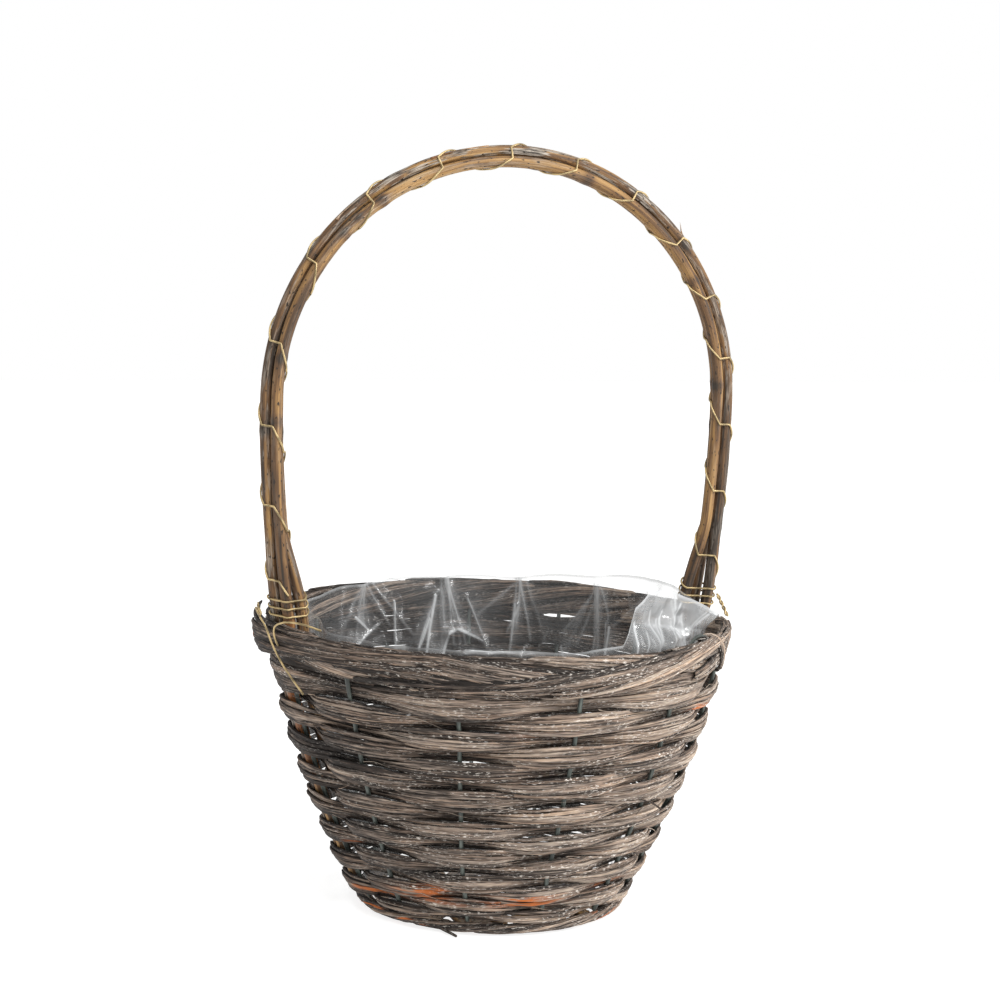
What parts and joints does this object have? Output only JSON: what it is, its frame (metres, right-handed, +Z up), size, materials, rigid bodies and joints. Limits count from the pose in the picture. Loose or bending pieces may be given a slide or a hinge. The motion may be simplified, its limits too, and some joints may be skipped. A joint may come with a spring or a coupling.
{
  "type": "market basket",
  "caption": "Round woven bark-strip basket on dark wire uprights, with a tall arched handle of rods bound with wire and a clear film liner inside.",
  "frame": {"origin": "middle of the foot's underside, on the surface that the basket stands on", "axes": "+Z up; X across the basket in the plane of the handle's arch; -Y towards the side with the wider weave bays"},
  "size_m": [0.2368, 0.22, 0.3564],
  "materials": {
    "bark": "weathered grey-brown bark strips with lengthwise fibres and pale flecks, dull",
    "willow": "peeled rods, tan to brown, with knots and scraps of grey bark, dull",
    "stake_wire": "dark grey-green coated wire, dull",
    "binding_wire": "thin tan-gold wire, satin",
    "film": "thin clear film, creased, glossy"
  },
  "bodies": {
    "root": {"base_stick_1": "willow", "base_stick_2": "willow", "base_stick_3": "willow", "base_stick_4": "willow", "base_stick_5": "willow", "base_stick_6": "willow", "base_stick_7": "willow", "base_weaver_1": "bark", "base_weaver_2": "bark", "base_weaver_3": "bark", "base_weaver_4": "bark", "base_weaver_5": "bark", "base_weaver_6": "bark", "base_weaver_7": "bark", "foot_border": "bark", "stakes": "stake_wire", "weave_row_1": "bark", "weave_row_2": "bark", "weave_row_3": "bark", "weave_row_4": "bark", "weave_row_5": "bark", "weave_row_6": "bark", "weave_row_7": "bark", "weave_row_8": "bark", "weave_row_9": "bark", "weave_row_10": "bark", "weave_row_11": "bark", "weave_row_12": "bark", "weave_row_13": "bark", "weave_row_14": "bark", "weave_row_15": "bark", "weave_row_16": "bark", "rim_outer_band": "bark", "rim_inner_band_front": "bark", "rim_inner_band_back": "bark", "rim_roll_front": "bark", "rim_roll_back": "bark", "handle_rod_front": "willow", "handle_rod_outer": "willow", "handle_rod_inner": "willow", "handle_binding_wire": "binding_wire", "handle_tie_left": "binding_wire", "handle_tie_right": "binding_wire", "liner": "film"}
  },
  "joints": []
}
